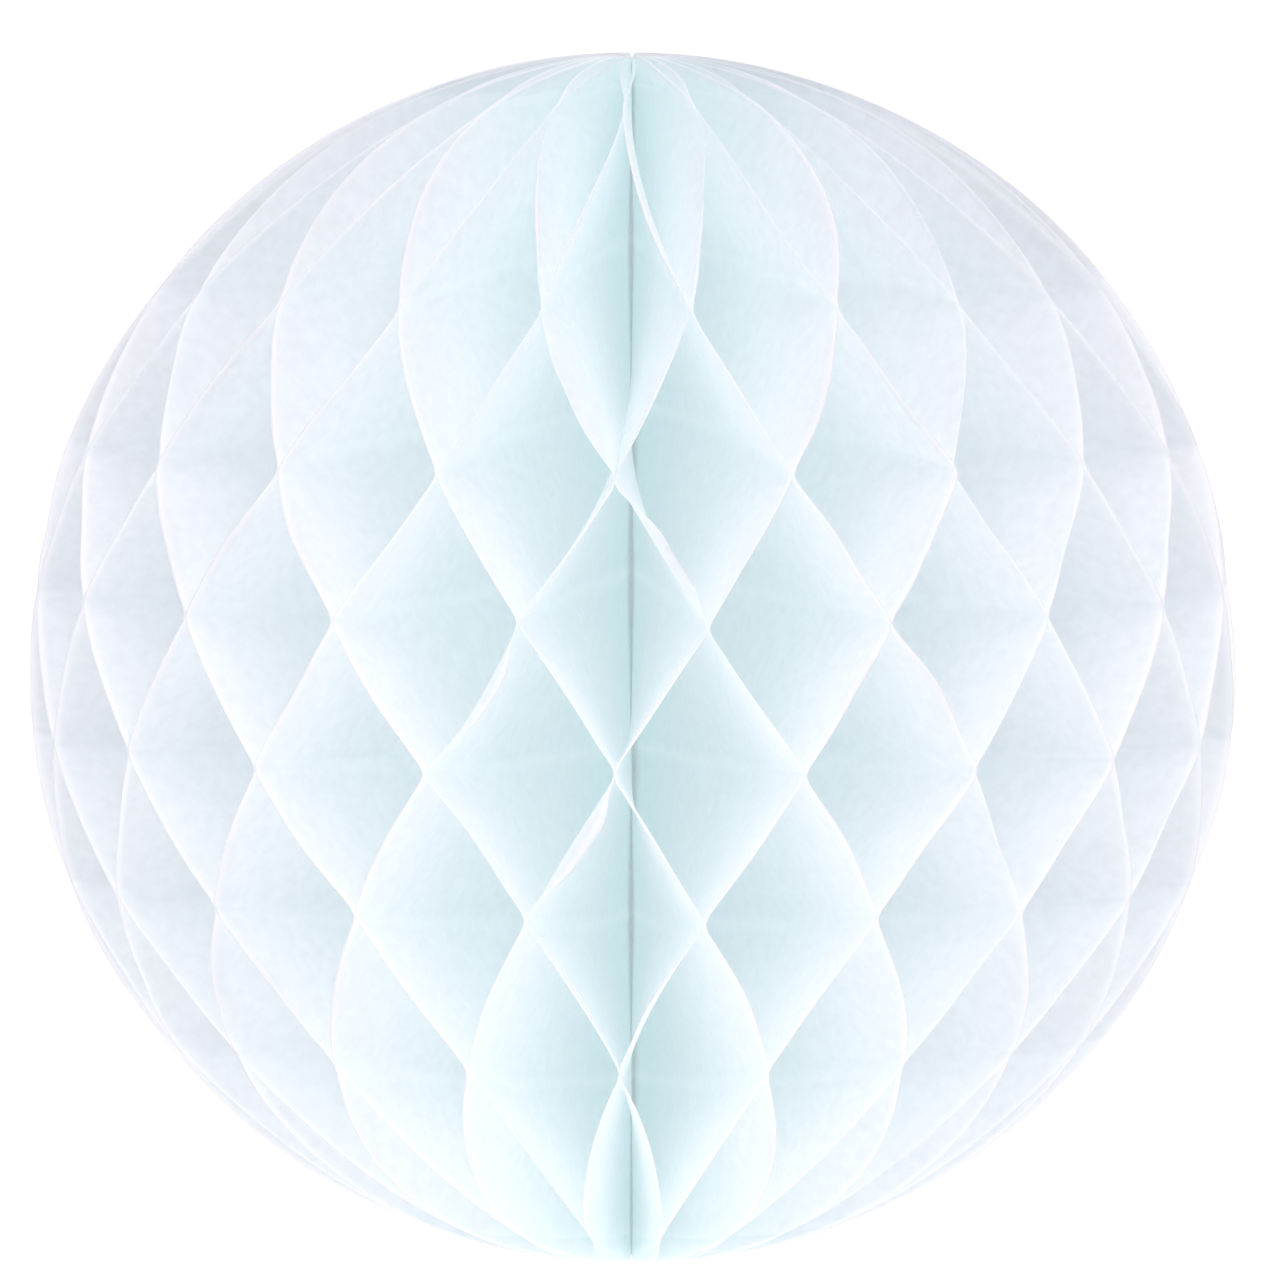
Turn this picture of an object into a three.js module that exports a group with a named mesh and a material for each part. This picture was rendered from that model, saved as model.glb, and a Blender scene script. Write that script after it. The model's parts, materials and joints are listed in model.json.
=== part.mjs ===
// Paper honeycomb ball: forty half-round tissue leaves stand round a bound spine like the pages of a book
// opened through a full turn. Neighbouring leaves are glued together along short radial lines, at heights that
// alternate from one meeting plane to the next, so the opened leaves pull into rows of diamond cells. Two half-round
// end cards close the ring at the back, face to face, with strips of tape between them.
// Millimetres, +Z up. The origin is the hanging point, at the top end of the spine; the front of the ball is -Y.
import * as THREE from 'three';

// Driving dimensions
const ballRadius = 152.5;          // a 12 inch ball
const leafCount = 40;
const glueRows = 8;                // glue line heights, counted from the bottom of the ball to the top
const glueSpacing = 0.2883;        // flat spacing of the glue lines at the equator, in ball radii
const spacingLossPerRow = 0.0047;  // the same spacing shrinks by this much for each row away from the equator
const leafThickness = 0.4;         // stand-in for tissue of 0.04 mm
const gap = 0.3;                   // clearance between pieces that touch
const spineRadius = 4.2;
const spineEndInset = 4;           // the binding stops this far below the top and above the bottom of the ball
const knotRadius = 1.6;
const cardRadius = 150.5;
const cardThickness = 0.6;
const cardInnerRadius = 10;        // leaves room for the two cards to close past each other
const cardArcSegments = 40;
const hangingHoleRadius = 1.5;
const hangingHolePlace = { radial: 17, belowTop: 12 };
const tapeThickness = 0.4;
const tapeSize = { radial: 10, along: 44 };
const tapeEdgeInset = 6;           // from the tape's outer edge to the rim of the card
const tapeAngles = { upper: 50, middle: 0, lower: -50 };  // degrees above the equator

// Dimensions worked out from those above
const leafPitch = 2 * Math.PI / leafCount;
const halfPitch = leafPitch / 2;
const cardNearFace = tapeThickness / 2 + gap;
const cardFarFace = cardNearFace + cardThickness;
const seamAzimuth = Math.PI / 2;   // the end cards meet on the +Y side
const lastGlueRow = (glueRows - 1) / 2;
const poleReach = 6;               // radial length of a leaf's short edge at the pole

const tissue = new THREE.MeshStandardMaterial({ color: 0xeaf4f8, roughness: 0.9, metalness: 0 });
const card = new THREE.MeshStandardMaterial({ color: 0xf3f6f7, roughness: 0.8, metalness: 0 });
const thread = new THREE.MeshStandardMaterial({ color: 0xf4f4f0, roughness: 0.85, metalness: 0 });
const tape = new THREE.MeshStandardMaterial({ color: 0xf0ead2, roughness: 0.35, metalness: 0 });

const ball = new THREE.Group();
ball.position.z = -ballRadius;     // from here on, heights are measured from the ball's centre

function addPiece(name, geometry, material, parent = ball) {
  const mesh = new THREE.Mesh(geometry, material);
  mesh.name = name;
  parent.add(mesh);
  return mesh;
}

// Distance from the axis to the ball's surface at one height.
function rimRadius(height) {
  return Math.sqrt(ballRadius ** 2 - height ** 2);
}

// A row numbered 0 runs round the equator, and rows of +-0.5, +-1.5 and so on are glue lines. The paper doesn't
// stretch, so a row's height falls from row * spacing at the spine to row * sqrt(spacing^2 - (pitch * radius)^2).
function rowHeight(row, radius) {
  const spacing = (glueSpacing - spacingLossPerRow * Math.abs(row)) * ballRadius;
  return row * Math.sqrt(spacing ** 2 - (leafPitch * radius) ** 2);
}

// The height at which that row comes out on the ball's surface.
function rowHeightAtRim(row) {
  const spacing = (glueSpacing - spacingLossPerRow * Math.abs(row)) * ballRadius;
  return row * Math.sqrt((spacing ** 2 - (leafPitch * ballRadius) ** 2) / (1 - (row * leafPitch) ** 2));
}

// The lines across a leaf from bottom to top, each with its height at the inner edge, its height at the rim, and
// its side: +1 where it is glued to the leaf before, -1 to the leaf after, 0 half way.
function leafLines(leaf, innerRadius) {
  const lines = [];
  for (let step = 0; step <= 2 * (glueRows - 1); step += 1) {
    const row = step / 2 - lastGlueRow;
    const gluedBefore = (step / 2 + leaf) % 2 === 0;
    const side = step % 2 === 1 ? 0 : gluedBefore ? 1 : -1;
    lines.push({ inner: rowHeight(row, innerRadius), rim: rowHeightAtRim(row), side });
  }
  const poleInner = rimRadius(innerRadius);
  const poleRim = rimRadius(innerRadius + poleReach);
  const towardsPole = (line, sign, share) => ({
    inner: THREE.MathUtils.lerp(line.inner, sign * poleInner, share),
    rim: THREE.MathUtils.lerp(line.rim, sign * poleRim, share),
    side: line.side * (1 - share),
  });
  for (const share of [0.5, 1]) {
    lines.unshift(towardsPole(lines[0], -1, share));
    lines.push(towardsPole(lines[lines.length - 1], 1, share));
  }
  return lines;
}

// A thin closed solid on a grid of points that has two columns, the inner edge and the rim: its +Y face, its -Y
// face, and a strip round the edge. X runs outwards, Y across the leaf and Z up.
function sheetGeometry(rows, thickness) {
  const positions = [];
  for (const offset of [thickness / 2, -thickness / 2]) {
    for (const [inner, rim] of rows) {
      positions.push(inner.x, inner.y + offset, inner.z, rim.x, rim.y + offset, rim.z);
    }
  }
  const backStart = 2 * rows.length;
  const indices = [];
  const quad = (a, b, c, d) => indices.push(a, b, c, a, c, d);
  for (let row = 0; row < rows.length - 1; row += 1) {
    const [inner, rim, rimAbove, innerAbove] = [2 * row, 2 * row + 1, 2 * row + 3, 2 * row + 2];
    quad(inner, innerAbove, rimAbove, rim);
    quad(backStart + inner, backStart + rim, backStart + rimAbove, backStart + innerAbove);
    quad(inner, backStart + inner, backStart + innerAbove, innerAbove);
    quad(rim, rimAbove, backStart + rimAbove, backStart + rim);
  }
  const top = 2 * (rows.length - 1);
  quad(0, 1, backStart + 1, backStart);
  quad(top, backStart + top, backStart + top + 1, top + 1);
  const geometry = new THREE.BufferGeometry();
  geometry.setAttribute('position', new THREE.Float32BufferAttribute(positions, 3));
  geometry.setIndex(indices);
  geometry.computeVertexNormals();
  return geometry;
}

// One tissue leaf, numbered from the seam. Its mid surface swings between the two planes where it meets its
// neighbours, and stays clear of each by half its own thickness and half the gap, or by an end card's place.
function leafGeometry(leaf) {
  const clearTissue = (leafThickness + gap) / 2;
  const clearCard = cardFarFace + gap + leafThickness / 2;
  const clearBefore = leaf === 1 ? clearCard : clearTissue;
  const clearAfter = leaf === leafCount ? clearCard : clearTissue;
  const innerRadius = Math.max(clearBefore, clearAfter) / Math.tan(halfPitch) + gap;
  const across = (radius, side) => side > 0
    ? side * (radius * Math.sin(halfPitch) - clearBefore)
    : side * (radius * Math.sin(halfPitch) - clearAfter);
  const rows = leafLines(leaf, innerRadius).map(({ inner, rim, side }) => {
    const outer = rimRadius(rim);
    return [
      new THREE.Vector3(innerRadius, across(innerRadius, side), inner),
      new THREE.Vector3(outer * Math.cos(halfPitch * side), across(outer, side), rim),
    ];
  });
  return sheetGeometry(rows, leafThickness);
}

for (let leaf = 1; leaf <= leafCount; leaf += 1) {
  const mesh = addPiece(`leaf_${String(leaf).padStart(2, '0')}`, leafGeometry(leaf), tissue);
  mesh.rotation.z = seamAzimuth - leafPitch * (leaf - 0.5);
}

// The end cards: half discs on either side of the seam plane, with a hole for the hanging thread near the top of
// the spine. Their outline is drawn with X radial and Y up, then stood in the plane of the seam.
function cardGeometry() {
  const endAngle = Math.acos(cardInnerRadius / cardRadius);
  const outline = new THREE.Shape();
  outline.absarc(0, 0, cardRadius, -endAngle, endAngle, false);
  outline.closePath();
  const hole = new THREE.Path();
  const holeHeight = ballRadius - hangingHolePlace.belowTop;
  hole.absarc(hangingHolePlace.radial, holeHeight, hangingHoleRadius, 0, 2 * Math.PI, true);
  outline.holes.push(hole);
  return new THREE.ExtrudeGeometry(outline, {
    depth: cardThickness, bevelEnabled: false, curveSegments: cardArcSegments,
  });
}

const seam = new THREE.Group();    // turns a drawing's X, Y and Z to the ball's +Y, +Z and +X
seam.applyMatrix4(new THREE.Matrix4().makeBasis(
  new THREE.Vector3(0, 1, 0), new THREE.Vector3(0, 0, 1), new THREE.Vector3(1, 0, 0),
));
ball.add(seam);
addPiece('card_right', cardGeometry(), card, seam).position.z = cardNearFace;
addPiece('card_left', cardGeometry(), card, seam).position.z = -cardFarFace;

// Double-sided tape between the cards, along their rims.
for (const [place, degrees] of Object.entries(tapeAngles)) {
  const angle = THREE.MathUtils.degToRad(degrees);
  const middle = cardRadius - tapeEdgeInset - tapeSize.radial / 2;
  const strip = addPiece(
    `closing_tape_${place}`,
    new THREE.BoxGeometry(tapeSize.radial, tapeSize.along, tapeThickness),
    tape,
    seam,
  );
  strip.position.set(middle * Math.cos(angle), middle * Math.sin(angle), 0);
  strip.rotation.z = angle;
}

// The bound inner edges of the leaves, with the binding thread's knot at each end.
const spineLength = 2 * (ballRadius - spineEndInset);
const spine = addPiece('spine_binding', new THREE.CylinderGeometry(spineRadius, spineRadius, spineLength, 16), thread);
spine.rotation.x = Math.PI / 2;
for (const [name, sign] of [['knot_top', 1], ['knot_bottom', -1]]) {
  const knot = addPiece(name, new THREE.SphereGeometry(knotRadius, 12, 8), thread);
  knot.position.z = sign * (ballRadius - spineEndInset + gap + knotRadius);
}

export default ball;
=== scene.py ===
"""Looks for a tissue paper honeycomb ball: forty fine paper leaves, end cards, tape, binding thread and a stage."""

import json
import math

import bmesh
import bpy
import numpy as np
from bpy.props import FloatProperty, FloatVectorProperty, IntProperty, PointerProperty
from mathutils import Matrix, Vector


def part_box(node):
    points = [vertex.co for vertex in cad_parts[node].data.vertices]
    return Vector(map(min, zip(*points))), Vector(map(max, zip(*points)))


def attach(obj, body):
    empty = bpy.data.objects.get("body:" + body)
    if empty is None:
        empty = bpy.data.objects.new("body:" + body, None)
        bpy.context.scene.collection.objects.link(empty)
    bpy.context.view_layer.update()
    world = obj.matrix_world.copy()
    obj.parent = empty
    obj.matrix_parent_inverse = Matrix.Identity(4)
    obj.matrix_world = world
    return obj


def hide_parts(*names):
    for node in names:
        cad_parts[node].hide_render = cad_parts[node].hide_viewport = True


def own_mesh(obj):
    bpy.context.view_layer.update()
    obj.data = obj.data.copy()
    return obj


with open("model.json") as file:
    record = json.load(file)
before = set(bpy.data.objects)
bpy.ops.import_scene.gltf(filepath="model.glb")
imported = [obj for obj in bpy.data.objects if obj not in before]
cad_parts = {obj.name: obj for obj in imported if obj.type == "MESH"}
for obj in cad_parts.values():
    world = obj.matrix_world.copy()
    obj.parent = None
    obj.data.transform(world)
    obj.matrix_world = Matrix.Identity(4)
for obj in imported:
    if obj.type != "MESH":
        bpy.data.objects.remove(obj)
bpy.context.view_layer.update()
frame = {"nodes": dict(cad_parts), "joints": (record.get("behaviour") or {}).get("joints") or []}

bl_info = {
    "name": "Honeycomb Ball",
    "version": (1, 0, 0),
    "blender": (4, 5, 0),
    "location": "3D View > Sidebar > Honeycomb Ball",
    "description": "Makes a folding tissue paper honeycomb ball and a pale studio round it",
    "category": "Add Mesh",
}

FOLD = next(j for j in frame["joints"] if j["name"] == "fold")
CENTRE = Vector(FOLD["pos_m"])
BALL_RADIUS = -CENTRE.z
LEAF_COUNT = sum(name.startswith("leaf_") for name in frame["nodes"])
SEAM_AZIMUTH = math.pi / 2
MM = 0.001


# ---------------------------------------------------------------- properties


class BallSizes(bpy.types.PropertyGroup):
    """Sizes of the paper and its glue lines."""

    glue_rows: IntProperty(
        name="Glue rows", description="Heights at which leaves are glued, from bottom to top", default=8, min=2
    )
    glue_spacing: FloatProperty(
        name="Glue spacing", description="Flat spacing of the glue rows at the equator, in ball radii", default=0.2883
    )
    spacing_loss: FloatProperty(
        name="Spacing loss", description="How much that spacing shrinks for each row from the equator", default=0.0047
    )
    tissue_thickness: FloatProperty(
        name="Tissue thickness", description="Thickness of a leaf", default=0.06 * MM, unit="LENGTH"
    )
    spine_gap: FloatProperty(
        name="Spine gap", description="Radius at which the leaves begin", default=0.85 * MM, unit="LENGTH"
    )
    glue_width: FloatProperty(
        name="Glue width", description="Height of the strip in which two leaves touch", default=2.0 * MM, unit="LENGTH"
    )
    unevenness: FloatProperty(
        name="Unevenness", description="How far a glued crossing strays from its true place", default=1.2 * MM,
        unit="LENGTH",
    )
    rim_flare: FloatProperty(
        name="Rim flare", description="How steeply the cut edge of a leaf bends aside", subtype="ANGLE",
        default=math.radians(38),
    )
    seed: IntProperty(name="Seed", description="Which set of small irregularities the paper has", default=7)


class BallColours(bpy.types.PropertyGroup):
    """Colours of the paper, card, thread and tape, and of the shade painted on the tissue toward the spine."""

    tissue: FloatVectorProperty(
        name="Tissue", description="Colour of the tissue", subtype="COLOR", size=3, default=(0.925, 0.948, 0.957)
    )
    spine: FloatVectorProperty(
        name="Deep shade", description="Painted tint toward the spine, standing in for shade deep between sheets",
        subtype="COLOR", size=3, default=(0.82, 0.9, 0.9),
    )
    # Painted highlight: the cut edge's whiter colour stands in for the light that the rims catch.
    rim: FloatVectorProperty(
        name="Rim", description="Colour of the tissue's cut edge", subtype="COLOR", size=3, default=(0.97, 0.975, 0.985)
    )
    card: FloatVectorProperty(
        name="Card", description="Colour of the end cards", subtype="COLOR", size=3, default=(0.93, 0.95, 0.96)
    )
    thread: FloatVectorProperty(
        name="Thread", description="Colour of the binding thread", subtype="COLOR", size=3, default=(0.97, 0.98, 0.98)
    )
    tape: FloatVectorProperty(
        name="Tape", description="Colour of the closing tape", subtype="COLOR", size=3, default=(0.9, 0.87, 0.76)
    )


class StudioSettings(bpy.types.PropertyGroup):
    """Camera and light."""

    azimuth: FloatProperty(
        name="Azimuth", description="Direction of the camera, to the right of the front", subtype="ANGLE",
        default=math.radians(1.76),
    )
    elevation: FloatProperty(
        name="Elevation", description="Height of the camera above the ball's middle", subtype="ANGLE",
        default=math.radians(4.08),
    )
    distance: FloatProperty(
        name="Distance", description="From the camera to the ball's middle", default=6.1, unit="LENGTH"
    )
    frame_width: FloatProperty(
        name="Frame width", description="Width of the view at the ball", default=0.3226, unit="LENGTH"
    )
    floor_drop: FloatProperty(
        name="Floor drop", description="Height of the hanging ball above the floor", default=0.3, unit="LENGTH"
    )


# ---------------------------------------------------------------- mesh helpers


def new_piece(name, points, faces, material, smooth=True):
    """A mesh object at the origin from an (n, 3) array of points and a list or array of faces."""
    mesh = bpy.data.meshes.new(name)
    mesh.from_pydata(points.tolist(), [], [list(f) for f in faces])
    mesh.validate()
    mesh.polygons.foreach_set("use_smooth", [smooth] * len(mesh.polygons))
    mesh.materials.append(material)
    mesh.update()
    piece = bpy.data.objects.new(name, mesh)
    bpy.context.scene.collection.objects.link(piece)
    return piece


def grid_faces(rows, columns):
    """Quads between the points of a rows by columns grid, numbered row by row."""
    r, c = np.meshgrid(np.arange(rows - 1), np.arange(columns - 1), indexing="ij")
    first = (r * columns + c).ravel()
    return np.stack([first, first + 1, first + 1 + columns, first + columns], axis=1)


def tube(centre, radius, sides=16, lobes=0, twist=0.0):
    """Points and faces of a closed tube: a circle, or a circle with lobes that turn by twist from end to end,
    carried along a line of points with a frame that doesn't spin, and closed by a fan at each end."""
    along = np.gradient(centre, axis=0)
    along /= np.linalg.norm(along, axis=1, keepdims=True)
    side = np.cross(along[0], [0.31, 0.2, 0.93])
    sides_at = []
    for t in along:
        side = side - t * (side @ t)
        side /= np.linalg.norm(side)
        sides_at.append(side)
    across = np.array(sides_at)
    other = np.cross(along, across)
    angle = np.linspace(0, 2 * math.pi, sides, endpoint=False)
    turn = np.linspace(0, twist, len(centre))[:, None]
    grow = 1 + (0.22 * np.abs(np.cos(lobes / 2 * (angle - turn))) if lobes else 0 * turn * angle)
    reach = radius * grow
    ring = (
        centre[:, None]
        + (reach * np.cos(angle))[..., None] * across[:, None]
        + (reach * np.sin(angle))[..., None] * other[:, None]
    )
    points = np.concatenate([ring.reshape(-1, 3), centre[[0, -1]]])
    n, last = len(centre), (len(centre) - 1) * sides
    r, c = np.meshgrid(np.arange(n - 1), np.arange(sides), indexing="ij")
    a, b = (r * sides + c).ravel(), (r * sides + (c + 1) % sides).ravel()
    walls = np.stack([a, b, b + sides, a + sides], axis=1).tolist()
    around = np.arange(sides)
    start = np.stack([(around + 1) % sides, around, np.full(sides, n * sides)], axis=1).tolist()
    end = np.stack([last + around, last + (around + 1) % sides, np.full(sides, n * sides + 1)], axis=1).tolist()
    return points, walls + start + end


def add_values(piece, name, values):
    """A number at each point of a piece, for its material to read."""
    piece.data.attributes.new(name, "FLOAT", "POINT").data.foreach_set("value", values.astype(np.float32).ravel())


def smooth_step(x):
    """0 below 0, 1 above 1, and 3x^2 - 2x^3 between."""
    x = np.clip(x, 0, 1)
    return x * x * (3 - 2 * x)


# ---------------------------------------------------------------- materials


def node(tree, kind, **inputs):
    """A shader node, with its sockets set by name to numbers, colours or other sockets."""
    made = tree.nodes.new(kind)
    for name, value in inputs.items():
        socket = made.inputs[name.replace("_", " ")]
        if isinstance(value, bpy.types.NodeSocket):
            tree.links.new(value, socket)
        else:
            socket.default_value = value
    return made


def math_node(tree, operation, a, b=0.0, clamp=False):
    """One sum on two numbers."""
    made = tree.nodes.new("ShaderNodeMath")
    made.operation, made.use_clamp = operation, clamp
    for socket, value in zip(made.inputs, (a, b)):
        if isinstance(value, bpy.types.NodeSocket):
            tree.links.new(value, socket)
        else:
            socket.default_value = value
    return made.outputs[0]


def mix_colour(tree, share, a, b, mode="MIX"):
    """A mix of two colours by a share."""
    made = tree.nodes.new("ShaderNodeMix")
    made.data_type, made.blend_type = "RGBA", mode
    for socket, value in ((made.inputs[0], share), (made.inputs[6], a), (made.inputs[7], b)):
        if isinstance(value, bpy.types.NodeSocket):
            tree.links.new(value, socket)
        else:
            socket.default_value = value
    return made.outputs[2]


def rgba(colour):
    return (*colour, 1.0)


def paper_fibre_group():
    """Paper fibre: cloudy formation and fine fibres on Object coordinates, given out as two masks and a height."""
    if "paper_fibre" in bpy.data.node_groups:
        return bpy.data.node_groups["paper_fibre"]
    tree = bpy.data.node_groups.new("paper_fibre", "ShaderNodeTree")
    face = tree.interface
    for name, default in (("Cloud size", 4.0), ("Fibre size", 0.5), ("Crinkle", 0.4)):
        socket = face.new_socket(name, in_out="INPUT", socket_type="NodeSocketFloat")
        socket.default_value = default
    for name in ("Cloud", "Fibre", "Height"):
        face.new_socket(name, in_out="OUTPUT", socket_type="NodeSocketFloat")
    given, out = tree.nodes.new("NodeGroupInput"), tree.nodes.new("NodeGroupOutput")
    place = tree.nodes.new("ShaderNodeTexCoord").outputs["Object"]

    def noise(size, detail, rough, stretch=(1, 1, 1)):
        scale = math_node(tree, "DIVIDE", 1000.0, size)
        where = node(tree, "ShaderNodeMapping", Vector=place, Scale=stretch).outputs[0]
        return node(tree, "ShaderNodeTexNoise", Vector=where, Scale=scale, Detail=detail, Roughness=rough).outputs[0]

    cloud = noise(given.outputs["Cloud size"], 3.0, 0.6)
    fibre = noise(given.outputs["Fibre size"], 2.0, 0.7, stretch=(1, 1, 0.35))
    crease_size = math_node(tree, "MULTIPLY", given.outputs["Cloud size"], 2.6)
    crease = math_node(tree, "ABSOLUTE", math_node(tree, "SUBTRACT", noise(crease_size, 2.0, 0.55), 0.5))
    height = math_node(
        tree, "ADD", math_node(tree, "MULTIPLY", fibre, 0.25),
        math_node(tree, "MULTIPLY", crease, given.outputs["Crinkle"]),
    )
    tree.links.new(cloud, out.inputs["Cloud"])
    tree.links.new(fibre, out.inputs["Fibre"])
    tree.links.new(height, out.inputs["Height"])
    return tree


def paper_fibre(tree, cloud_size, fibre_size, crinkle):
    made = tree.nodes.new("ShaderNodeGroup")
    made.node_tree = paper_fibre_group()
    for socket, value in zip(made.inputs, (cloud_size, fibre_size, crinkle)):
        socket.default_value = value
    return made.outputs["Cloud"], made.outputs["Fibre"], made.outputs["Height"]


def new_material(name):
    """A material with an empty tree, and its output."""
    material = bpy.data.materials.new(name)
    material.use_nodes = True
    tree = material.node_tree
    tree.nodes.clear()
    return material, tree, tree.nodes.new("ShaderNodeOutputMaterial")


def attribute(tree, name):
    made = tree.nodes.new("ShaderNodeAttribute")
    made.attribute_name = name
    return made.outputs["Fac"]


def spread(tree, value, low, high, to_low=0.0, to_high=1.0):
    """A value between low and high carried over to another range, and held at its ends."""
    made = tree.nodes.new("ShaderNodeMapRange")
    for socket, number in zip(made.inputs[1:5], (low, high, to_low, to_high)):
        socket.default_value = number
    tree.links.new(value, made.inputs[0])
    return made.outputs[0]


def tissue_material(colours):
    """Thin white tissue: cloudy and fibrous, lets light through, denser on its glue lines. Painted shade tints it
    darker and greener toward the spine; its glue lines are whiter, partly for the denser paper and partly as painted
    light; its cut edge is whiter as a painted highlight.
    """
    material, tree, out = new_material("tissue_paper")
    cloud, fibre, height = paper_fibre(tree, 3.2, 0.45, 0.55)
    rim, glue = attribute(tree, "rim"), attribute(tree, "glue")
    body = mix_colour(
        tree, spread(tree, cloud, 0.35, 0.65), rgba([0.965 * x for x in colours.tissue]), rgba(colours.tissue)
    )
    # Painted shade: the tissue turns darker and greener toward the spine, standing in for the shade deep between the
    # sheets.
    body = mix_colour(tree, math_node(tree, "MULTIPLY", attribute(tree, "painted_shade_share"), 0.4), body, rgba(colours.spine))
    # Glue lines painted whiter: partly the denser glued paper, partly painted light that lifts the shade where two
    # sheets lie together.
    body = mix_colour(tree, math_node(tree, "MULTIPLY", glue, 0.3), body, rgba(colours.rim))
    flecked = mix_colour(tree, spread(tree, fibre, 0.55, 0.75, 0.0, 0.5), body, rgba(colours.rim))
    # Painted highlight: the cut edge is whiter, standing in for the bright lines that the rims make where they catch
    # the light.
    colour = mix_colour(tree, rim, flecked, rgba(colours.rim))
    pressed = math_node(tree, "ADD", height, math_node(tree, "MULTIPLY", glue, 0.25))
    bump = node(tree, "ShaderNodeBump", Strength=0.35, Distance=0.12 * MM, Height=pressed).outputs[0]
    rough = spread(tree, fibre, 0.3, 0.7, 0.82, 0.96)
    paper = node(tree, "ShaderNodeBsdfPrincipled", Base_Color=colour, Roughness=rough, Normal=bump)
    paper.inputs["Specular IOR Level"].default_value = 0.25
    paper.inputs["Sheen Weight"].default_value = 0.08
    glow = node(tree, "ShaderNodeBsdfTranslucent", Color=colour, Normal=bump).outputs[0]
    both = tree.nodes.new("ShaderNodeMixShader")
    both.inputs[0].default_value = 0.62
    tree.links.new(paper.outputs[0], both.inputs[1])
    tree.links.new(glow, both.inputs[2])
    tree.links.new(both.outputs[0], out.inputs["Surface"])
    return material


def card_material(colours):
    """White end card: smooth board with a fibrous grain and faint soiling in fine flecks."""
    material, tree, out = new_material("end_card")
    cloud, fibre, height = paper_fibre(tree, 9.0, 0.8, 0.1)
    colour = mix_colour(
        tree, spread(tree, cloud, 0.3, 0.7), rgba([0.97 * x for x in colours.card]), rgba(colours.card)
    )
    colour = mix_colour(tree, spread(tree, fibre, 0.6, 0.8, 0.0, 0.35), colour, (0.80, 0.79, 0.74, 1))
    bump = node(tree, "ShaderNodeBump", Strength=0.2, Distance=0.05 * MM, Height=height).outputs[0]
    rough = spread(tree, cloud, 0.3, 0.7, 0.62, 0.74)
    board = node(tree, "ShaderNodeBsdfPrincipled", Base_Color=colour, Roughness=rough, Normal=bump)
    tree.links.new(board.outputs[0], out.inputs["Surface"])
    return material


def thread_material(colours):
    """Cotton thread: twisted plies with fine stray fibres."""
    material, tree, out = new_material("cotton_thread")
    cloud, fibre, height = paper_fibre(tree, 1.2, 0.15, 0.5)
    colour = mix_colour(
        tree, spread(tree, fibre, 0.35, 0.65), rgba([0.86 * x for x in colours.thread]), rgba(colours.thread)
    )
    bump = node(tree, "ShaderNodeBump", Strength=0.6, Distance=0.08 * MM, Height=height).outputs[0]
    rough = spread(tree, cloud, 0.3, 0.7, 0.85, 0.97)
    cotton = node(tree, "ShaderNodeBsdfPrincipled", Base_Color=colour, Roughness=rough, Normal=bump)
    cotton.inputs["Sheen Weight"].default_value = 0.3
    tree.links.new(cotton.outputs[0], out.inputs["Surface"])
    return material


def tape_material(colours):
    """Double-sided tape: a smooth adhesive film with trapped air and lint."""
    material, tree, out = new_material("closing_tape")
    cloud, fibre, height = paper_fibre(tree, 2.2, 0.3, 0.8)
    colour = mix_colour(
        tree, spread(tree, cloud, 0.45, 0.6), rgba(colours.tape), rgba([0.93 * x for x in colours.tape])
    )
    colour = mix_colour(tree, spread(tree, fibre, 0.66, 0.72, 0.0, 0.7), colour, (0.95, 0.95, 0.93, 1))
    bump = node(tree, "ShaderNodeBump", Strength=0.3, Distance=0.05 * MM, Height=height).outputs[0]
    rough = spread(tree, cloud, 0.4, 0.65, 0.22, 0.45)
    film = node(tree, "ShaderNodeBsdfPrincipled", Base_Color=colour, Roughness=rough, Normal=bump)
    tree.links.new(film.outputs[0], out.inputs["Surface"])
    return material


# ---------------------------------------------------------------- the leaves

FRONT = LEAF_COUNT // 2
RIM_FLARE_ZONE = 3.2 * MM  # width of the strip along a cut edge that bends aside on every leaf
CURL_ZONE = 9 * MM  # and of the wider one that bends where a stretch has come loose
WHITE_EDGE = 3.0 * MM  # width over which the cut edge's painted highlight, a whiter colour, fades into the tissue's own colour
SHADE_REACH = 0.55  # how far out from the spine the deep shade is painted, in ball radii

# (leaf, glue row below the stretch, size at the rim): the stretches that stray most from the even pattern
LOOSE_CURLS = (
    (FRONT + 2, 3, math.radians(62)),
    (FRONT + 1, 2, math.radians(60)),
    (FRONT, 4, math.radians(80)),
    (FRONT + 1, 5, math.radians(-35)),
)
BELLIES = (
    (FRONT + 2, 6, 3.2 * MM),
    (FRONT - 1, 6, -4.0 * MM),
    (FRONT + 1, 6, -3.6 * MM),
)


def along_stretches(table, leaf, up):
    """The sum of a table's sizes for one leaf, each rising smoothly from the glue rows below and above it."""
    total = np.zeros_like(up)
    for which, below, size in table:
        if which == leaf:
            total += size * smooth_step((0.5 - np.abs(up - below - 0.5)) / 0.4)
    return total


def arc_bend(edge, zone, angle):
    """A strip along a free edge, bent in an arc: its slope grows evenly to angle over the zone. Gives how far a
    point at a distance from the edge moves aside, zone / angle * (1 - cos), and back,
    zone * u - zone / angle * sin."""
    u = np.clip(1 - edge / zone, 0, 1)
    angle = np.where(np.abs(angle) < 0.001, 0.001, angle)
    return zone / angle * (1 - np.cos(angle * u)), zone * u - zone / angle * np.sin(angle * u)


def row_spacing(row, sizes):
    """The flat spacing of the glue rows at a row, in metres: it falls evenly with the distance from the equator."""
    return (sizes.glue_spacing - sizes.spacing_loss * np.abs(row)) * BALL_RADIUS


def row_height(row, radius, sizes):
    """The paper doesn't stretch: height = row * square root of (spacing^2 - (leaf angle * radius)^2)."""
    pitch = 2 * math.pi / LEAF_COUNT
    return row * np.sqrt(row_spacing(row, sizes) ** 2 - (pitch * radius) ** 2)


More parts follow.
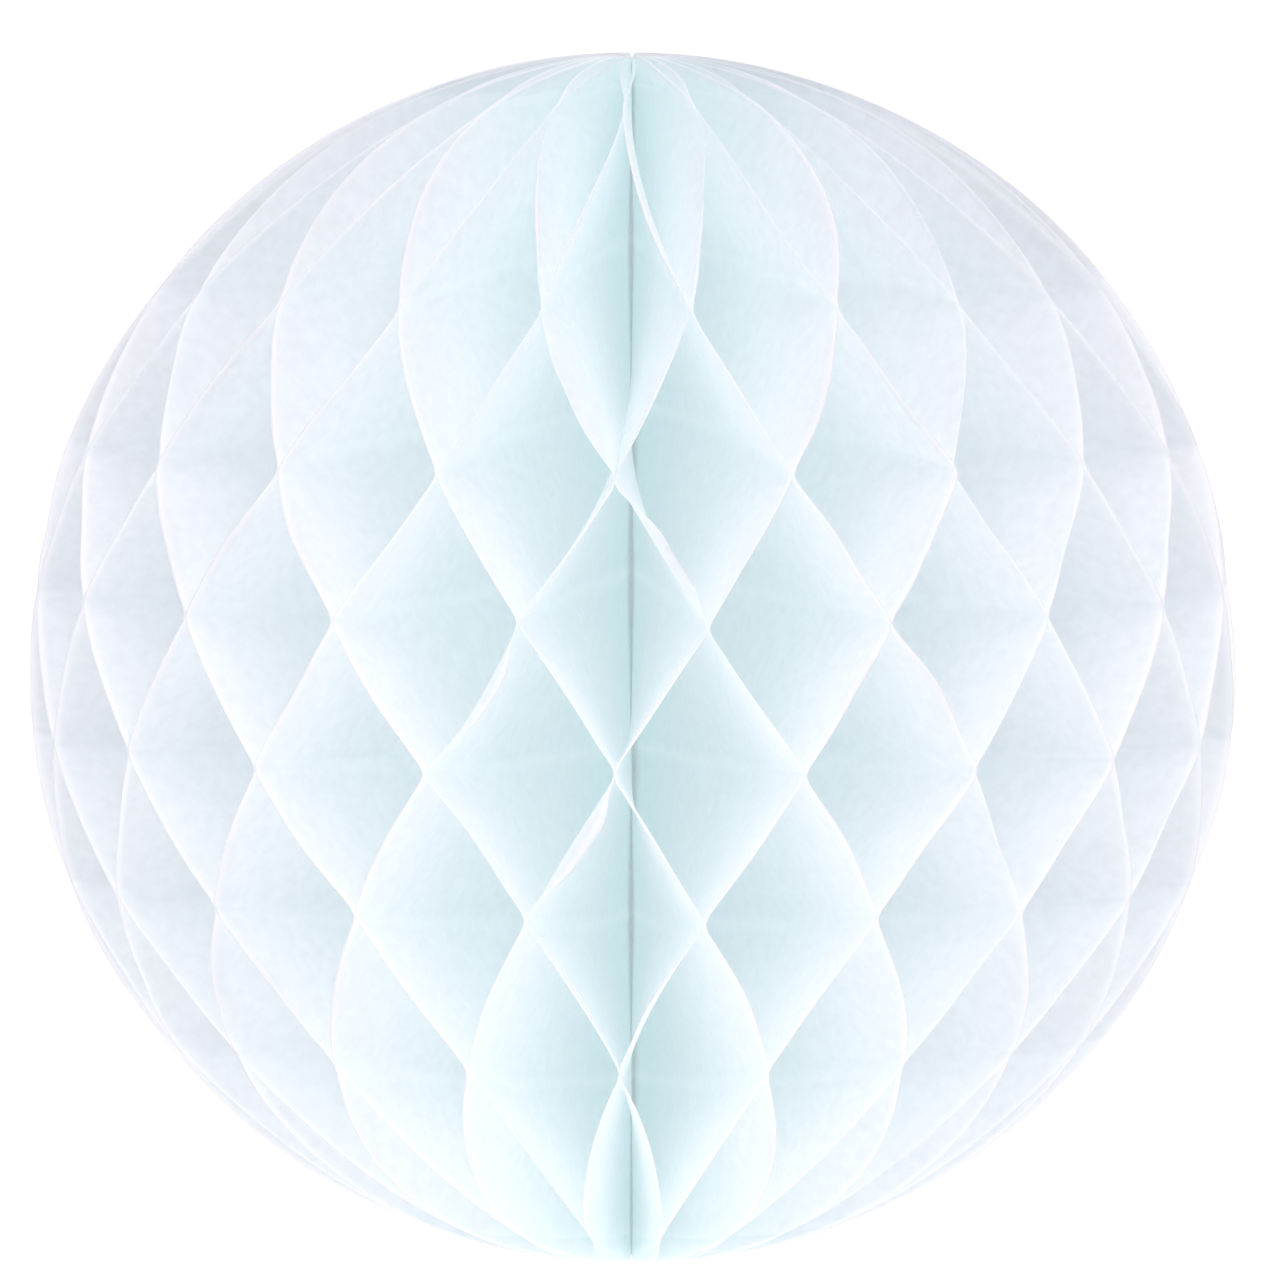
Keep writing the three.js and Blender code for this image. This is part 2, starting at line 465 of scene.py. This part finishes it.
def row_height_at_rim(row, sizes):
    """That height where it meets the sphere, solved for radius^2 + height^2 = ball radius^2."""
    pitch = 2 * math.pi / LEAF_COUNT
    top = row_spacing(row, sizes) ** 2 - (pitch * BALL_RADIUS) ** 2
    return row * np.sqrt(top / (1 - (row * pitch) ** 2))


def crossing_errors(sizes):
    """How far each glued crossing strays, as (height, sideways, outwards) in metres for each meeting plane and
    glue row. The leaves on both sides of a plane read the same numbers, so they stay together."""
    rng = np.random.default_rng(sizes.seed)
    errors = rng.normal(0, 0.45, (LEAF_COUNT + 1, sizes.glue_rows, 3)) * sizes.unevenness
    errors[..., 2] *= 0.7
    errors[[0, -1]] *= 0.0
    return np.clip(errors, -1.6 * sizes.unevenness, 1.6 * sizes.unevenness)


def across_profile(row, sides, last_row, contact):
    """-1 to +1 from one meeting plane to the other: straight between glue rows, flat where glued, with the corners
    rounded by averaging shifted copies of the same line."""
    taps = np.linspace(-0.03, 0.03, 5)
    total = np.zeros_like(row)
    for tap in taps:
        at = np.clip(row + tap + last_row, 0, 2 * last_row)
        below = np.clip(np.floor(at), 0, 2 * last_row - 1).astype(int)
        part = np.clip((at - below - contact) / (1 - 2 * contact), 0, 1)
        total += sides[below] * (1 - part) + sides[below + 1] * part
    return total / len(taps)


def leaf_points(leaf, sizes, errors, rows=163, columns=26):
    """A leaf's middle surface on a grid. Up the leaf, the first parameter passes the glue rows and then the short
    stretches to the poles; outwards, the second runs from the spine to the rim, closer together near the rim.
    Height follows row_height, and the distance from the leaf's own plane is across_profile times the half gap
    to the meeting planes, plus the crossings' errors, a slow buckle between crossings and a bent rim."""
    rng = np.random.default_rng(sizes.seed * 1000 + leaf)
    last_row = (sizes.glue_rows - 1) / 2
    half_pitch = math.pi / LEAF_COUNT
    up = np.linspace(-last_row - 1, last_row + 1, rows)
    row = np.clip(up, -last_row, last_row)
    cap = np.clip(np.abs(up) - last_row, 0, 1)
    sign = np.sign(up)

    inner = np.full(rows, sizes.spine_gap)
    pole_rim = np.sqrt(BALL_RADIUS**2 - (sizes.spine_gap + 5 * MM) ** 2)
    pole_inner = np.sqrt(BALL_RADIUS**2 - sizes.spine_gap**2) - 1.2 * MM
    rim_z = row_height_at_rim(row, sizes) * (1 - cap) + sign * pole_rim * cap
    rim_r = np.sqrt(BALL_RADIUS**2 - rim_z**2)

    order = np.arange(sizes.glue_rows)
    glued_before = (order + leaf) % 2 == 0
    sides = np.where(glued_before, 1.0, -1.0)
    plane = np.where(glued_before, leaf - 1, leaf)
    error = errors[plane, order]
    at_rows = order - last_row
    err_z, err_s, err_r = (np.interp(row, at_rows, error[:, i]) * (1 - 0.8 * cap) for i in range(3))

    share = np.linspace(0, 1, columns)
    share = 1 - (1 - share) ** 1.6
    rim_r = rim_r + err_r
    r = inner[:, None] + share * (rim_r - inner)[:, None]
    flat_z = row_height(row[:, None], np.minimum(r, BALL_RADIUS), sizes)
    line_z = (sign * pole_inner)[:, None] * (1 - share**2) + (sign * pole_rim)[:, None] * share**2
    z = flat_z * (1 - cap[:, None]) + line_z * cap[:, None]
    sphere_fix = (rim_z - z[:, -1])[:, None] * share**3
    reach = r / BALL_RADIUS
    z = z + sphere_fix + err_z[:, None] * reach**1.5

    contact = 0.5 * sizes.glue_width / row_spacing(0.0, sizes)
    swing = across_profile(row, sides, last_row, contact) * (1 - smooth_step(cap))
    touch = 0.5 * sizes.tissue_thickness + 0.01 * MM
    card_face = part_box("card_right")[1].x + touch
    near_card = touch + (card_face - touch) * smooth_step((r - 4 * MM) / (6 * MM))
    room = r * math.sin(half_pitch)
    room_before = room - (near_card if leaf == 1 else touch)
    room_after = room - (near_card if leaf == LEAF_COUNT else touch)
    least_before, least_after = -np.maximum(room_after, 0), -np.maximum(room_before, 0)
    before, after = np.maximum(room_before, least_before), np.maximum(room_after, least_after)
    lean = 0.5 * (before - after)
    s = lean + 0.5 * (before + after) * swing[:, None] + err_s[:, None] * reach**2

    between = np.sin(math.pi * (row + last_row)) ** 2 * (1 - cap)
    buckle = np.zeros_like(s)
    for wave in range(3):
        turns, phase, size = rng.uniform(1.2, 3.4), rng.uniform(0, 2 * math.pi), rng.normal(0, 0.5)
        drift = rng.uniform(-2.5, 2.5)
        buckle += size * np.sin(turns * up[:, None] + drift * share + phase + wave)
    s += 0.9 * MM * buckle * between[:, None] * reach**1.5

    s += along_stretches(BELLIES, leaf, up + last_row)[:, None] * reach**1.5

    edge = rim_r[:, None] - r
    widest = 0.4 * (rim_r - inner)[:, None]
    knots = np.linspace(-last_row - 1, last_row + 1, 2 * sizes.glue_rows)
    flare = np.interp(up, knots, rng.choice([-1.0, 1.0]) + rng.normal(0, 0.7, len(knots)))[:, None]
    flare = flare * (0.35 + 0.65 * between[:, None]) * sizes.rim_flare
    curl = along_stretches(LOOSE_CURLS, leaf, up + last_row)[:, None]
    for zone, angle in ((RIM_FLARE_ZONE, flare), (CURL_ZONE, curl)):
        aside, back = arc_bend(edge, np.minimum(zone, widest), angle)
        s, r = s + aside, r - back

    azimuth = SEAM_AZIMUTH - 2 * half_pitch * (leaf - 0.5)
    outward = np.array([math.cos(azimuth), math.sin(azimuth), 0])
    sideways = np.array([-math.sin(azimuth), math.cos(azimuth), 0])
    rho = np.sqrt(np.maximum(r**2 - s**2, 0))
    points = rho[..., None] * outward + s[..., None] * sideways + z[..., None] * np.array([0, 0, 1.0])
    points = points + np.array(CENTRE)

    from_glue = np.abs(up[:, None] + last_row - np.round(up[:, None] + last_row))
    on_row = (np.abs(up) <= last_row + 0.1)[:, None]
    glue = on_row * (1 - smooth_step((from_glue - contact) / 0.03)) * np.ones_like(s)
    # Mask for the painted highlight along the cut edge.
    rim = 1 - smooth_step(edge / WHITE_EDGE)
    return points, glue, rim


class HONEYCOMB_OT_tissue_leaves(bpy.types.Operator):
    """Make the forty tissue leaves, each riding its own body"""

    bl_idname = "honeycomb.tissue_leaves"
    bl_label = "Tissue leaves"

    def execute(self, context):
        sizes = context.scene.ball_sizes
        material = tissue_material(context.scene.ball_colours)
        errors = crossing_errors(sizes)
        for leaf in range(1, LEAF_COUNT + 1):
            name = f"leaf_{leaf:02d}"
            points, glue, rim = leaf_points(leaf, sizes, errors)
            piece = new_piece(f"tissue_{name}", points.reshape(-1, 3), grid_faces(*points.shape[:2]), material)
            add_values(piece, "glue", glue)
            add_values(piece, "rim", rim)
            # Painted shade: how near the spine each point lies, for the tissue's painted darker tint there.
            reach = np.hypot(points[..., 0], points[..., 1]) / BALL_RADIUS
            add_values(piece, "painted_shade_share", 1 - smooth_step(reach / SHADE_REACH))
            wall = piece.modifiers.new("tissue_thickness", "SOLIDIFY")
            wall.thickness, wall.offset = sizes.tissue_thickness, 0.0
            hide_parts(name)
            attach(piece, f"{name}_turning")
            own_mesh(piece)
        return {"FINISHED"}


# ---------------------------------------------------------------- cards, tape, thread


def half_disc_outline(radius, straight, arc_points=160):
    """The outline of a half disc whose straight edge stands at a distance from its centre, as (outward, up)."""
    end = math.acos(straight / radius)
    angle = np.linspace(-end, end, arc_points)
    return np.stack([radius * np.cos(angle), radius * np.sin(angle)], axis=1)


class HONEYCOMB_OT_end_cards(bpy.types.Operator):
    """Make the two end cards, with their hole for a hanging thread"""

    bl_idname = "honeycomb.end_cards"
    bl_label = "End cards"

    hole_place = (17 * MM, 12 * MM)
    hole_radius = 1.5 * MM

    def execute(self, context):
        material = card_material(context.scene.ball_colours)
        for name, body in (("card_right", "spine"), ("card_left", "left_card")):
            low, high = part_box(name)
            radius = math.hypot(low.y, CENTRE.z - low.z)
            outline = half_disc_outline(radius, low.y)
            turn = np.linspace(0, 2 * math.pi, 32, endpoint=False)
            hole = np.stack(
                [self.hole_place[0] + self.hole_radius * np.cos(turn),
                 BALL_RADIUS - self.hole_place[1] + self.hole_radius * np.sin(turn)], axis=1
            )
            curve = bpy.data.curves.new(name, "CURVE")
            curve.dimensions, curve.fill_mode = "2D", "BOTH"
            bevel = 0.12 * MM
            curve.bevel_depth, curve.bevel_resolution = bevel, 1
            curve.offset = -bevel
            curve.extrude = 0.5 * (high.x - low.x) - bevel
            for path in (outline, hole):
                spline = curve.splines.new("POLY")
                spline.points.add(len(path) - 1)
                flat = np.concatenate([path, np.zeros((len(path), 1)), np.ones((len(path), 1))], axis=1)
                spline.points.foreach_set("co", flat.astype(np.float32).ravel())
                spline.use_cyclic_u = True
            drawn = bpy.data.objects.new("card_drawing", curve)
            mesh = bpy.data.meshes.new_from_object(drawn)
            bpy.data.objects.remove(drawn)
            joined = bmesh.new()
            joined.from_mesh(mesh)
            bmesh.ops.remove_doubles(joined, verts=joined.verts, dist=1e-6)
            joined.to_mesh(mesh)
            joined.free()
            co = np.zeros(len(mesh.vertices) * 3, np.float32)
            mesh.vertices.foreach_get("co", co)
            outward, up, across = co.reshape(-1, 3).T
            place = np.stack([across + 0.5 * (low.x + high.x), outward, up + CENTRE.z], axis=1)
            mesh.vertices.foreach_set("co", place.astype(np.float32).ravel())
            mesh.materials.clear()
            mesh.materials.append(material)
            mesh.update()
            piece = bpy.data.objects.new(f"end_{name}", mesh)
            context.scene.collection.objects.link(piece)
            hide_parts(name)
            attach(piece, body)
        return {"FINISHED"}


def tape_strip(width, length, thickness, seed):
    """A strip of tape lying flat, as (across, along, through): a thin rounded section carried from end to end, cut
    at each end in a zigzag by a dispenser's teeth, and rippled by sines of its length and width."""
    rng = np.random.default_rng(seed)
    n = 33
    across = np.linspace(-1, 1, n)
    half = 0.5 * thickness * np.sqrt(1 - np.abs(across) ** 12)
    t = np.linspace(-1, 1, 61)[:, None]
    teeth = 0.35 * MM * np.abs((across * width / (2 * MM)) % 1 - 0.5)
    along = t * (0.5 * length - teeth)
    x = np.broadcast_to(0.5 * width * across, along.shape)
    phase = rng.uniform(0, 2 * math.pi, 3)
    ripple = np.sin(7 * t + phase[0]) * np.sin(3 * across + phase[1]) + 0.5 * np.sin(19 * t + 5 * across + phase[2])
    ripple = 0.03 * MM * ripple
    upper = np.stack([x, along, ripple + half], axis=2)
    lower = np.stack([x, along, ripple - half], axis=2)[:, ::-1][:, 1:-1]
    ring = np.concatenate([upper, lower], axis=1)
    count, around = ring.shape[:2]
    r, c = np.meshgrid(np.arange(count - 1), np.arange(around), indexing="ij")
    a, b = (r * around + c).ravel(), (r * around + (c + 1) % around).ravel()
    walls = np.stack([a, b, b + around, a + around], axis=1)
    k = np.arange(n - 1)
    above, below = k, (2 * n - 2 - k) % around
    cap = np.stack([above, above + 1, (below - 1) % around, below], axis=1)
    ends = np.concatenate([cap[:, ::-1], cap + (count - 1) * around])
    faces = [list(dict.fromkeys(face)) for face in np.concatenate([walls, ends]).tolist()]
    return ring.reshape(-1, 3), faces


class HONEYCOMB_OT_closing_tape(bpy.types.Operator):
    """Make the strips of double-sided tape that hold the two cards face to face"""

    bl_idname = "honeycomb.closing_tape"
    bl_label = "Closing tape"

    def execute(self, context):
        material = tape_material(context.scene.ball_colours)
        low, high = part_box("closing_tape_middle")
        thickness, width, length = high - low
        for seed, place in enumerate(("upper", "middle", "lower")):
            low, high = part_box(f"closing_tape_{place}")
            middle = (low + high) / 2
            tilt = math.atan2(middle.z - CENTRE.z, middle.y)
            strip, faces = tape_strip(width, length, thickness - 0.08 * MM, seed)
            outward = np.array([0, math.cos(tilt), math.sin(tilt)])
            upward = np.array([0, -math.sin(tilt), math.cos(tilt)])
            through = np.array([1.0, 0, 0])
            points = strip @ np.array([outward, upward, through]) + np.array(middle)
            piece = new_piece(f"tape_{place}", points, faces, material)
            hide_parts(f"closing_tape_{place}")
            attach(piece, "spine")
        return {"FINISHED"}


class HONEYCOMB_OT_binding(bpy.types.Operator):
    """Make the twisted binding thread along the spine and the knot at each end of it"""

    bl_idname = "honeycomb.binding"
    bl_label = "Binding thread"

    def execute(self, context):
        material = thread_material(context.scene.ball_colours)
        low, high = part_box("spine_binding")
        heights = np.linspace(low.z, high.z, 700)
        line = np.stack([0 * heights, 0 * heights, heights], axis=1)
        points, faces = tube(line, 0.52 * MM, sides=16, lobes=4, twist=2 * math.pi * 60)
        spine = new_piece("binding_thread", points, faces, material)
        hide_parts("spine_binding")
        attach(spine, "spine")
        for name in ("knot_top", "knot_bottom"):
            low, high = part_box(name)
            middle, reach = (low + high) / 2, (high.x - low.x) / 2
            t = np.linspace(0, 2 * math.pi, 121)
            wide = reach * 0.42
            shape = np.stack(
                [wide * (np.sin(t) + 2 * np.sin(2 * t)) / 2.4, wide * (np.cos(t) - 2 * np.cos(2 * t)) / 2.4,
                 -wide * np.sin(3 * t)], axis=1
            )
            points, faces = tube(shape + np.array(middle), 0.38 * MM, sides=10)
            knot = new_piece(f"thread_{name}", points, faces, material)
            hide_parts(name)
            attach(knot, "spine")
        return {"FINISHED"}


# ---------------------------------------------------------------- stage


def soft_sun(name, towards, strength, colour, shadows=True):
    """Even light from one side, as soft as a large diffuser's. Without shadows it stands for the light that
    thin paper scatters on, sheet after sheet, into the depths of the ball."""
    light = bpy.data.lights.new(name, "SUN")
    light.angle, light.energy, light.color, light.use_shadow = math.radians(50), strength, colour, shadows
    lamp = bpy.data.objects.new(name, light)
    lamp.rotation_mode = "QUATERNION"
    lamp.rotation_quaternion = towards.to_track_quat("Z", "Y")
    bpy.context.scene.collection.objects.link(lamp)


LIGHTS = (
    # name, direction towards the light, strength, colour, whether it casts shadows
    ("top_light", (0.1, -0.35, 1.0), 1.0, (1.0, 0.86, 0.9), True),
    ("top_fill", (0.0, -0.2, 1.0), 0.24, (0.92, 0.80, 0.85), False),
    ("front_fill", (0.1, -1.0, 0.3), 0.40, (0.92, 0.87, 0.94), False),
    ("left_fill", (-1.0, -0.3, 0.2), 0.46, (0.85, 0.97, 0.98), False),
    ("right_fill", (1.0, -0.3, 0.2), 0.39, (0.85, 0.97, 0.97), False),
)


class HONEYCOMB_OT_stage(bpy.types.Operator):
    """Make the pale floor, the soft studio light and the camera"""

    bl_idname = "honeycomb.stage"
    bl_label = "Stage"

    def execute(self, context):
        scene, studio = context.scene, context.scene.studio
        world = bpy.data.worlds.new("pale_studio")
        world.use_nodes = True
        tree = world.node_tree
        sky = tree.nodes["Background"]
        sky.inputs["Color"].default_value = (0.98, 0.94, 1.0, 1)
        sky.inputs["Strength"].default_value = 0.56
        seen = node(tree, "ShaderNodeBackground", Color=(0.97, 0.98, 1.0, 1))
        both = tree.nodes.new("ShaderNodeMixShader")
        tree.links.new(tree.nodes.new("ShaderNodeLightPath").outputs["Is Camera Ray"], both.inputs[0])
        tree.links.new(sky.outputs[0], both.inputs[1])
        tree.links.new(seen.outputs[0], both.inputs[2])
        tree.links.new(both.outputs[0], tree.nodes["World Output"].inputs["Surface"])
        scene.world = world
        scene.view_settings.view_transform = "Standard"
        scene.cycles.max_bounces, scene.cycles.transmission_bounces = 8, 8

        material, tree, out = new_material("pale_floor")
        paint = node(tree, "ShaderNodeBsdfPrincipled", Base_Color=(0.93, 0.93, 0.93, 1), Roughness=0.9)
        paint.inputs["Emission Color"].default_value = (1, 1, 1, 1)
        paint.inputs["Emission Strength"].default_value = 0.25
        tree.links.new(paint.outputs[0], out.inputs["Surface"])
        turn = np.linspace(0, 2 * math.pi, 96, endpoint=False)
        floor_z = -2 * BALL_RADIUS - studio.floor_drop
        disc = np.stack([24 * np.cos(turn), 24 * np.sin(turn), np.full(96, floor_z)], axis=1)
        floor = new_piece("floor", disc, [range(96)], material, smooth=False)

        for name, towards, strength, colour, shadows in LIGHTS:
            soft_sun(name, Vector(towards), strength, colour, shadows)

        lens = bpy.data.cameras.new("camera")
        camera = bpy.data.objects.new("camera", lens)
        back = Vector(
            (math.sin(studio.azimuth) * math.cos(studio.elevation),
             -math.cos(studio.azimuth) * math.cos(studio.elevation),
             math.sin(studio.elevation))
        )
        camera.rotation_mode = "QUATERNION"
        camera.rotation_quaternion = (-back).to_track_quat("-Z", "Y")
        right = camera.rotation_quaternion @ Vector((1, 0, 0))
        above = camera.rotation_quaternion @ Vector((0, 1, 0))
        camera.location = CENTRE + back * studio.distance + right * 2.1 * MM + above * 4.4 * MM
        lens.sensor_width = 36
        lens.lens = 36 * studio.distance / studio.frame_width
        lens.clip_end = 200
        scene.collection.objects.link(camera)
        scene.camera = camera
        return {"FINISHED"}


# ---------------------------------------------------------------- add-on


class HONEYCOMB_PT_panel(bpy.types.Panel):
    """Lists the ball's pieces and its settings"""

    bl_idname = "HONEYCOMB_PT_panel"
    bl_label = "Honeycomb Ball"
    bl_space_type = "VIEW_3D"
    bl_region_type = "UI"
    bl_category = "Honeycomb Ball"

    def draw(self, context):
        layout, scene = self.layout, context.scene
        for group in (scene.ball_sizes, scene.ball_colours, scene.studio):
            box = layout.box()
            for name in group.bl_rna.properties.keys():
                if name not in ("rna_type", "name"):
                    box.prop(group, name)
        for operator in OPERATORS:
            layout.operator(operator.bl_idname)


OPERATORS = (
    HONEYCOMB_OT_stage,
    HONEYCOMB_OT_tissue_leaves,
    HONEYCOMB_OT_end_cards,
    HONEYCOMB_OT_closing_tape,
    HONEYCOMB_OT_binding,
)
CLASSES = (BallSizes, BallColours, StudioSettings, *OPERATORS, HONEYCOMB_PT_panel)


def register():
    for made in CLASSES:
        bpy.utils.register_class(made)
    bpy.types.Scene.ball_sizes = PointerProperty(type=BallSizes)
    bpy.types.Scene.ball_colours = PointerProperty(type=BallColours)
    bpy.types.Scene.studio = PointerProperty(type=StudioSettings)


def unregister():
    for name in ("ball_sizes", "ball_colours", "studio"):
        delattr(bpy.types.Scene, name)
    for made in reversed(CLASSES):
        bpy.utils.unregister_class(made)


def main():
    register()
    bpy.ops.honeycomb.stage()
    bpy.ops.honeycomb.tissue_leaves()
    bpy.ops.honeycomb.end_cards()
    bpy.ops.honeycomb.closing_tape()
    bpy.ops.honeycomb.binding()


if __name__ == "__main__":
    main()
